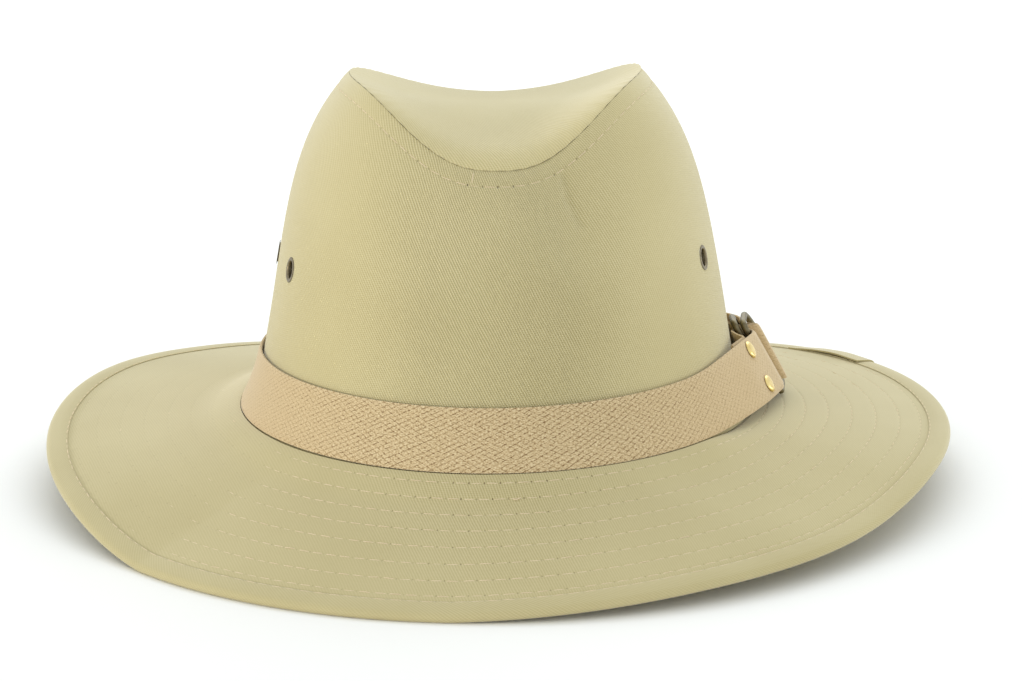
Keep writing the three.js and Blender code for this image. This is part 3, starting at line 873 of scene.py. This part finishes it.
def binding_lap(material):
    """The tape's upper end, which laps over its start and stands a little off it."""
    degrees = np.linspace(LAP["from"], LAP["to"], LAP["steps"])
    gap = LAP["gap"] * bump(degrees - LAP["gap_at"], LAP["gap_spread"])
    sunk = LAP_SINK["depth"] * smooth(degrees, LAP_SINK["from"], LAP["to"])
    start = BRIM_THICK / 2 + BINDING_GAP + TAPE + gap - sunk
    sections = [lap_section(face + LAP_SINK["clear"], face + TAPE) for face in start]
    grid = np.array(sections).transpose(1, 0, 2)
    points = binding_point(np.radians(degrees), grid[..., 0], grid[..., 1])
    weave = weave_uv(running_length(points[0]), running_length(grid[:, 0])[:, None], "binding")
    uvs = {"weave": weave, "stitch": no_stitches(weave.shape[:2])}
    piece = grid_object("binding_lap", points, uvs, close_rows=True, close_columns=False, caps="columns")
    dress(piece, material, "twill")


def weave_dome(along, up):
    """Plaited cells of the webbing, as diamonds: 1 on a cell's crest and 0 where its edges cross."""
    place = along / WEAVE_CELL
    row = up / WEAVE_ROW
    return (np.abs(np.sin(math.pi * (place + row))) + np.abs(np.sin(math.pi * (place - row)))) / 2


def hat_band(material):
    along, out, places = even_route()
    rises = np.linspace(0, 1, BAND_ROWS + 1)
    ups = rises * WEAVE_ROWS * WEAVE_ROW
    middle = band_point(along, out, rises[:, None])
    normal = unit(np.cross(np.gradient(middle, axis=1), np.gradient(middle, axis=0)))
    from_edge = np.minimum(ups, ups[-1] - ups)
    half = WEB / 2 * lerp(SELVEDGE["thin"], 1.0, smooth(from_edge, 0, SELVEDGE["width"]))[:, None]
    relief = WEAVE_RELIEF * (weave_dome(places, ups[:, None]) - 0.5)
    outer = middle - normal * each(half + relief)
    inner = (middle + normal * each(half))[::-1]
    inner_rows = np.arange(INNER_STEP, BAND_ROWS - INNER_STEP + 1, INNER_STEP)
    keep = np.concatenate([[0, 1, 2], inner_rows, [-3, -2, -1]])
    points = np.concatenate([outer, inner[keep]])
    ups = np.concatenate([ups, ups[::-1][keep]])
    weave = joined(places, ups[:, None])
    piece = grid_object(
        "hat_band_webbing", to_world(points)[:, ::-1], {"weave": weave[:, ::-1]},
        close_rows=True, close_columns=False, caps="columns",
    )
    dress(piece, material, "webbing", "hat_band")


# Stitches

def thread_object(name, paths, normals, material):
    """Short threads in one mesh; paths and normals hold one row of points for each thread."""
    count, length = paths.shape[:2]
    tangent = unit(np.gradient(paths, axis=1))
    sideways = unit(np.cross(tangent, normals))
    turn = np.linspace(FULL_TURN, 0, THREAD_SIDES + 1)[:-1]
    share = np.linspace(-1, 1, length)
    taper = 1 + THREAD_TAPER["end"] - share ** THREAD_TAPER["power"]
    radius = THREAD * np.sqrt(np.clip(taper, 0, 1))
    ring = sideways[:, :, None] * np.cos(turn)[:, None] + normals[:, :, None] * np.sin(turn)[:, None]
    points = paths[:, :, None] + ring * radius[:, None, None]
    corner_rows, corner_columns = grid_corners(length, THREAD_SIDES, False, True)
    quads = corner_rows * THREAD_SIDES + corner_columns % THREAD_SIDES
    first = np.arange(THREAD_SIDES)
    starts = np.arange(count)[:, None, None] * length * THREAD_SIDES
    faces = (quads + starts).reshape(-1, 4).tolist()
    faces += (first[::-1] + starts[:, 0]).tolist()
    faces += (first + (length - 1) * THREAD_SIDES + starts[:, 0]).tolist()
    piece = new_object(name, points.reshape(-1, 3), faces)
    piece.data.shade_smooth()
    dress(piece, material, "twill")


def row_threads(line, normals, seed):
    """Thread paths along a closed row; each thread rises from one needle hole and sinks into the next."""
    phase = stitch_phase(line)
    chance = np.random.default_rng(seed)
    stitches = np.arange(stitch_count(line))[:, None]
    share = np.linspace(0.5 - STITCH_FILL / 2, 0.5 + STITCH_FILL / 2, STITCH_POINTS)
    shift, swing, sink = (chance.normal(0, spread, stitches.shape) for spread in STITCH_WOBBLE.values())
    places = stitches + share + shift
    path = along_route(places, phase, line)
    normal = unit(along_route(places, phase, normals))
    sideways = unit(np.cross(path[:, -1:] - path[:, :1], normal))
    slant = np.linspace(-1, 1, STITCH_POINTS) * swing
    arch = 1 - (2 * (share - 0.5) / STITCH_FILL) ** STITCH_ARCH
    height = lerp(-THREAD_SINK, THREAD_RISE, arch) + sink
    return path + sideways * each(slant) + normal * each(height), normal


def brim_stitches(name, side, material):
    angles = round_angles(STITCH_ANGLES)
    from_front = np.degrees(np.arccos(-np.sin(angles)))
    depth = np.where(np.cos(angles) < 0, SIDE_SINK["left"], SIDE_SINK["right"])
    sink = depth * smooth(from_front, SIDE_SINK["from"], SIDE_SINK["to"])
    rows = []
    for i, reach in enumerate(BRIM_ROWS):
        _, normal = brim_axes(angles, reach)
        line = brim_face(angles, reach, side) - normal * side * each(sink)
        rows.append(row_threads(line, normal * side, STITCH_SEED + i))
    thread_object(name, *(np.concatenate(part) for part in zip(*rows)), material)


def thread_tail(material):
    """A loose end of thread that curls up from one of the brim's rows."""
    angle = np.radians(np.full(STITCH_POINTS, THREAD_TAIL["angle"]))
    reach = BRIM_ROWS[THREAD_TAIL["row"]]
    outward, normal = brim_axes(angle, reach)
    share = np.linspace(0, 1, STITCH_POINTS)[:, None]
    path = brim_face(angle, reach, 1) + np.cross(normal, outward) * THREAD_TAIL["length"] * share
    path = path + outward * THREAD_TAIL["swing"] * np.sin(math.pi * share)
    path = path + normal * THREAD_TAIL["rise"] * share
    thread_object("thread_tail", path[None], normal[None], material)


def join_stitch(material):
    """A short upright stitch in front, between the seam and the row below it."""
    angle = np.radians(np.full(STITCH_POINTS, JOIN_STITCH["angle"]))
    fall = np.linspace(JOIN_STITCH["from"], JOIN_STITCH["to"], STITCH_POINTS)
    level = level_below_seam(angle, fall)
    normal = world_normal(angle, level)
    path = to_world(crown_outside(angle, level))
    thread_object("join_stitch", path[None], normal[None], material)


def crown_stitches(material):
    angles = round_angles(STITCH_ANGLES)
    normal = world_normal(angles, level_below_seam(angles, TOPSTITCH_FALL))
    threads = row_threads(topstitch_line(angles), normal, STITCH_SEED)
    thread_object("crown_stitches", *threads, material)


def binding_stitches(name, side, material):
    angles = round_angles(STITCH_ANGLES)
    _, normal = brim_axes(angles, 1.0)
    threads = row_threads(binding_row_line(angles, side), normal * side, STITCH_SEED)
    thread_object(name, *threads, material)


# Metal pieces

def eyelet_matrix(row):
    angle = np.array(math.radians(row["angle"]))
    level = level_at(angle, row["height"])
    return lean_matrix() @ facing_matrix(crown_point(angle, level), wall_normal(angle, level))


def eyelet(row, material):
    """A rolled ring on both faces of the cloth, joined by a barrel."""
    piece = lathe_object(row["node"] + "_metal", EYELET_PROFILE, eyelet_matrix(row))
    dress(piece, material, "antique_metal", row["node"])


def band_ends(along, out):
    """The lower and the upper edge of flat webbing at one place."""
    return band_point(along, out, np.array([0.0, 1.0]))


def flat_axes(start, here, end):
    """Up and outward directions of flat webbing, from its edges at three places along it."""
    up = unit(here[1] - here[0])
    return up, unit(np.cross(end.mean(0) - start.mean(0), up))


def rivet_matrix(row):
    places = RIVET_ALONG + np.array([-AXIS_STEP, 0, AXIS_STEP])
    start, here, end = (band_ends(along, taut_out(along)) for along in places)
    under = band_ends(RIVET_ALONG, taut_out(RIVET_ALONG) - WEB - PLY_GAP)
    up, outward = flat_axes(start, here, end)
    origin = (here.mean(0) + under.mean(0)) / 2 + up * row["across"]
    return lean_matrix() @ facing_matrix(origin, outward)


def rivet(row, material):
    """A tubular rivet with a domed head on the band and a flat washer behind it."""
    face = WEB + PLY_GAP / 2
    back = [(radius, -face - out) for radius, out in RIVET_BACK]
    head = [(radius, face + out) for radius, out in RIVET_HEAD]
    piece = lathe_object(row["node"] + "_metal", back + head, rivet_matrix(row))
    dress(piece, material, "gold_metal", row["node"])


def ring_outline():
    """The D's centre line: its bar on the Y axis and its bow toward +X."""
    half = (RING["clear"] + WIRE) / 2
    corner = RING["corner"]
    turns = np.radians(np.linspace(0, 90, RING_GRID["corner"]))
    bow = np.radians(np.linspace(-90, 90, RING_GRID["bow"]))
    low_corner = joined(corner - corner * np.cos(turns), -half + corner - corner * np.sin(turns))
    bend = joined(lerp(RING["straight"], RING["depth"], np.cos(bow)), half * np.sin(bow))
    high_corner = (low_corner * [1, -1])[::-1]
    rough = np.vstack([[[0, 0]], low_corner, bend, high_corner, [[0, 0]]])
    length = running_length(rough)
    places = np.linspace(0, length[-1], RING_GRID["steps"] + 1)[:-1]
    return along_route(places, length, rough)


def ring_matrix(row):
    out = BARS_OUT + row["stack"] * RING_SPACING
    here = band_ends(0.0, out)
    up, outward = flat_axes(here, here, band_ends(AXIS_STEP, out))
    back = np.cross(up, outward)
    tilt = math.radians(-row["tilt"])
    x_axis = back * math.cos(tilt) - outward * math.sin(tilt)
    z_axis = back * math.sin(tilt) + outward * math.cos(tilt)
    return lean_matrix() @ frame_matrix(x_axis, up, z_axis, here.mean(0) + up * RING["rise"])


def d_ring(row, material):
    line = ring_outline()
    tangent = unit(np.roll(line, -1, 0) - np.roll(line, 1, 0))
    outside = joined(tangent[:, 1], -tangent[:, 0])
    turn = np.linspace(0, FULL_TURN, RING_GRID["sides"] + 1)[:-1][:, None]
    flat = line + outside * each(np.cos(turn) * WIRE / 2)
    local = joined(flat[..., 0], flat[..., 1], np.sin(turn) * WIRE / 2)
    piece = grid_object(row["node"] + "_wire", placed(local, ring_matrix(row)), {}, close_rows=True)
    dress(piece, material, "antique_metal", row["node"])


# Material nodes

class Value:
    """A value inside a material; sums on it add maths nodes."""

    def __init__(self, tree, socket):
        self.tree = tree
        self.socket = socket

    def maths(self, operation, *others):
        return add(self.tree, "Math", dict(enumerate((self, *others))), operation=operation)

    def __add__(self, other):
        return self.maths("ADD", other)

    def __sub__(self, other):
        return self.maths("SUBTRACT", other)

    def __mul__(self, other):
        return self.maths("MULTIPLY", other)

    def __truediv__(self, other):
        return self.maths("DIVIDE", other)

    def __pow__(self, other):
        return self.maths("POWER", other)


def add(tree, kind, inputs=None, output=0, **settings):
    """A new shader node with its settings and inputs; gives one of its outputs."""
    made = tree.nodes.new("ShaderNode" + kind)
    for name, value in settings.items():
        setattr(made, name, value)
    for name, value in (inputs or {}).items():
        if isinstance(value, Value):
            tree.links.new(value.socket, made.inputs[name])
        else:
            made.inputs[name].default_value = value
    return Value(tree, made.outputs[output])


def connect(value, shader, name):
    value.tree.links.new(value.socket, shader.inputs[name])


def object_place(tree):
    return add(tree, "TexCoord", output="Object")


def uv_place(tree, name):
    return add(tree, "UVMap", uv_map=name)


def parts_of(place):
    return [add(place.tree, "SeparateXYZ", {0: place}, axis) for axis in "XY"]


def noise(place, scale, detail):
    return add(place.tree, "TexNoise", {"Vector": place, "Scale": scale, "Detail": detail}, "Fac")


def vector_maths(operation, place, *others):
    output = "Value" if operation == "LENGTH" else "Vector"
    return add(place.tree, "VectorMath", dict(enumerate((place, *others))), output, operation=operation)


def patches(place, name):
    across, along, detail = PATCHES[name]
    return noise(vector_maths("MULTIPLY", place, (across, along, 1)), 1.0, detail)


def remap(value, low, high, first, last, how="LINEAR"):
    inputs = {0: value, 1: low, 2: high, 3: first, 4: last}
    return add(value.tree, "MapRange", inputs, interpolation_type=how)


def ramp(value, colours, span=(0, 1)):
    """Colours spread evenly over a span of the value."""
    made = value.tree.nodes.new("ShaderNodeValToRGB")
    value.tree.links.new(value.socket, made.inputs["Fac"])
    elements = made.color_ramp.elements
    while len(elements) < len(colours):
        elements.new(0.5)
    for element, place, colour in zip(elements, np.linspace(*span, len(colours)), colours):
        element.position = place
        element.color = (*linear(colour), 1)
    return Value(value.tree, made.outputs["Color"])


def linear(colour):
    """Linear values of a colour that is written as red, green and blue from 0 to 255."""
    share = np.array(colour) / 255
    return tuple(np.where(share > 0.04045, ((share + 0.055) / 1.055) ** 2.4, share / 12.92).tolist())


def blend(how, factor, first, second):
    inputs = {0: factor, 6: first, 7: second}
    return add(first.tree, "Mix", inputs, 2, data_type="RGBA", blend_type=how)


def emboss(shader, height, depth, strength):
    """Relief in the shading, to a depth in millimetres."""
    inputs = {"Strength": strength, "Distance": depth * MM, "Height": height}
    connect(add(height.tree, "Bump", inputs), shader, "Normal")


def new_material(name):
    made = bpy.data.materials.new(name)
    made.use_nodes = True
    tree = made.node_tree
    return made, tree, tree.nodes["Principled BSDF"]


def set_finish(shader, finish):
    for name, value in finish.items():
        shader.inputs[name].default_value = value


def set_fabric(shader, cloth):
    set_finish(shader, FABRIC)
    shader.inputs["Sheen Tint"].default_value = (*linear(SHEEN[cloth]), 1)


# Cloth and metal

def weave_shows(tree, shows):
    """How clearly a weave reads: fully at the crown's front and back, and less toward its sides; in the
    twill's colour it places painted shading of raking side light.
    """
    either_end = vector_maths("ABSOLUTE", object_place(tree))
    offset = vector_maths("SUBTRACT", either_end, Vector(WEAVE_SHOWS["centre"]) * MM)
    reach = vector_maths("LENGTH", vector_maths("MULTIPLY", offset, WEAVE_SHOWS["stretch"]))
    return remap(reach, shows["near"] * MM, shows["far"] * MM, 1.0, WEAVE_SHOWS["least"])


def needle_holes(tree, show):
    """1 in the needle holes between stitches and 0 elsewhere, where shade is painted in; no two holes are
    as dark.
    """
    phase, gap = parts_of(uv_place(tree, "stitch"))
    along = phase.maths("PINGPONG", 0.5) * STITCH_PITCH
    square = (along * HOLE["narrow"]) ** 2.0 + (gap * HOLE["tall"]) ** 2.0
    holes = remap(square, HOLE["dark"], HOLE["clear"], 1.0, 0.0, "SMOOTHSTEP")
    which = noise(object_place(tree), HOLE_CHANCE["patch"], 1.0)
    chance = remap(which, HOLE_CHANCE["low"], HOLE_CHANCE["high"], HOLE_CHANCE["least"], 1.0)
    return holes * chance * show


def twill_material(part):
    """Cotton twill: slanted ridges of yarn, slubs, a little unevenness in the dye, a painted tone per
    part, partly painted shade on its ridges and painted shade in its needle holes.
    """
    made, tree, shader = new_material("khaki_twill_" + part)
    place = uv_place(tree, "weave")
    across, along = parts_of(place)
    turn = (patches(place, "wander") * YARN["sway"] + across) * (FULL_TURN / TWILL_SPACING)
    floats = (turn * 0.5 + along * YARN_TURN).maths("SINE")
    height = turn.maths("SINE") + floats * YARN["floats"] + patches(place, "slub")
    show = weave_shows(tree, TWILL_SHOWS)
    shade = height + patches(place, "grain") * YARN["grain"] - YARN["middle"]
    # Paler crests and darker valleys: partly the yarn's tone, partly painted shading of side light raking
    # over the ridges
    cloth = ramp(shade * (show * TWILL[part]["contrast"]) + 0.5, KHAKI)
    # Random unevenness of the dye, under a painted tone per part that darkens the brim and binding and
    # lightens the tip
    pale = np.full(3, TWILL[part]["dye_and_painted_tone"])
    dye_and_painted_tone = ramp(patches(place, "dye_and_painted_tone"), [pale - DYE_DIP, pale], NOISE_SPAN)
    colour = blend("MULTIPLY", 1.0, cloth, dye_and_painted_tone)
    holes = needle_holes(tree, show)
    # Painted shade in the needle holes
    colour = blend("MIX", holes * HOLE["tint"], colour, (*linear(PAINTED_HOLE_SHADE), 1))
    connect(colour, shader, "Base Color")
    emboss(shader, height - holes * HOLE["depth"], TWILL[part]["depth"], show)
    set_fabric(shader, "twill")
    return made


def hollow_lines(turns):
    """Fine lines of 1 at each whole number of turns, on 0."""
    crest = (turns * math.pi).maths("SINE").maths("ABSOLUTE")
    return (crest * -1.0 + 1.0) ** HOLLOW["fineness"]


def webbing_material():
    """Plaited cotton webbing: diamond cells with slanted hollows between them, in relief and painted dark
    as shade.
    """
    made, tree, shader = new_material("tan_webbing")
    place = uv_place(tree, "weave")
    along, up = parts_of(place)
    cells_up = patches(place, "cells_up")
    cell = (patches(place, "cells_along") * CELL_SWAY["along"] + along) / WEAVE_CELL
    row = (cells_up * CELL_SWAY["up"] + up) / WEAVE_ROW
    dash_share = remap(patches(place, "hollows"), HOLLOW["low"], HOLLOW["high"], *DASH_SHARE)
    cross_share = remap(cells_up, HOLLOW["low"], HOLLOW["high"], *CROSS_SHARE)
    hollow = hollow_lines(cell + row) * dash_share + hollow_lines(cell - row) * cross_share
    height = patches(place, "yarn") * FLECK["strength"] + FLECK["shift"] - hollow
    show = weave_shows(tree, WEBBING_SHOWS)
    # The hollows' darkness is painted shade; the rest is the yarns' own tone
    connect(ramp((height - FLECK["middle"]) * show + 0.5, TAN_AND_HOLLOW_SHADE), shader, "Base Color")
    emboss(shader, height, WEAVE_DEPTH, show)
    set_fabric(shader, "webbing")
    return made


def thread_material():
    made, tree, shader = new_material("pale_thread")
    fibre = noise(object_place(tree), FIBRE["patch"], FIBRE["detail"])
    connect(ramp(fibre, FIBRE["tones"], NOISE_SPAN), shader, "Base Color")
    set_fabric(shader, "thread")
    return made


def metal_material(name):
    """Plated metal with patches of wear that change its colour and gloss."""
    made, tree, shader = new_material(name)
    metal = METALS[name]
    wear = noise(object_place(tree), metal["patch"], WEAR["detail"])
    connect(ramp(wear, metal["tones"], NOISE_SPAN), shader, "Base Color")
    shader.inputs["Metallic"].default_value = 1.0
    smoothest = metal["roughness"] - WEAR["smoother"]
    roughest = metal["roughness"] + WEAR["rougher"]
    connect(remap(wear, *NOISE_SPAN, smoothest, roughest), shader, "Roughness")
    emboss(shader, wear, WEAR["depth"], WEAR["strength"])
    return made


# Camera, floor and light

def camera():
    data = bpy.data.cameras.new("camera")
    data.lens = CAMERA["lens"]
    data.sensor_width = SENSOR
    made = bpy.data.objects.new("camera", data)
    bpy.context.scene.collection.objects.link(made)
    place = Vector(CAMERA["place"]) * MM
    aim = Vector(CAMERA["aim"]) * MM
    turn = (aim - place).to_track_quat("-Z", "Y").to_matrix().to_4x4()
    roll = Matrix.Rotation(-math.radians(CAMERA["roll"]), 4, "Z")
    made.matrix_world = Matrix.Translation(place) @ turn @ roll
    bpy.context.scene.camera = made


def floor():
    half = FLOOR["half"]
    corners = [(-half, -half, 0), (half, -half, 0), (half, half, 0), (-half, half, 0)]
    made = new_object("floor", corners, [(0, 1, 2, 3)])
    material, tree, shader = new_material("pale_floor")
    cloud = noise(object_place(tree), FLOOR["patch"], FLOOR["detail"])
    connect(ramp(cloud, FLOOR["tones"], NOISE_SPAN), shader, "Base Color")
    set_finish(shader, FLOOR_FINISH)
    made.data.materials.append(material)


def lights():
    for name, row in LIGHTS.items():
        data = bpy.data.lights.new(name, "AREA")
        data.shape = "RECTANGLE"
        data.size, data.size_y = (side * MM for side in row["size"])
        data.energy = row["power"]
        data.color = linear(row["colour"])
        made = bpy.data.objects.new(name, data)
        made.location = Vector(row["place"]) * MM
        made.rotation_mode = "QUATERNION"
        made.rotation_quaternion = (-made.location).to_track_quat("-Z", "Y")
        made.visible_camera = False
        bpy.context.scene.collection.objects.link(made)


def room():
    world = bpy.data.worlds.new("room")
    world.use_nodes = True
    sky = world.node_tree.nodes["Background"]
    sky.inputs["Color"].default_value = (*linear(ROOM_LIGHT["colour"]), 1)
    sky.inputs["Strength"].default_value = ROOM_LIGHT["strength"]
    bpy.context.scene.world = world
    bpy.context.scene.view_settings.view_transform = "Standard"


def build():
    twill = {part: twill_material(part) for part in TWILL}
    webbing = webbing_material()
    thread = thread_material()
    metal = {name: metal_material(name) for name in METALS}
    crown_side(twill["crown"])
    crown_tip(twill["tip"])
    brim(twill["brim"])
    brim_binding(twill["binding"])
    binding_lap(twill["binding"])
    hat_band(webbing)
    crown_stitches(thread)
    join_stitch(thread)
    brim_stitches("brim_stitches", 1, thread)
    brim_stitches("brim_stitches_under", -1, thread)
    thread_tail(thread)
    binding_stitches("binding_stitches", 1, thread)
    binding_stitches("binding_stitches_under", -1, thread)
    for row in RINGS:
        d_ring(row, metal["antique_metal"])
    for row in RIVETS:
        rivet(row, metal["gold_metal"])
    for row in EYELETS:
        eyelet(row, metal["eyelet_metal"])


build()
camera()
floor()
lights()
room()
bpy.context.view_layer.update()
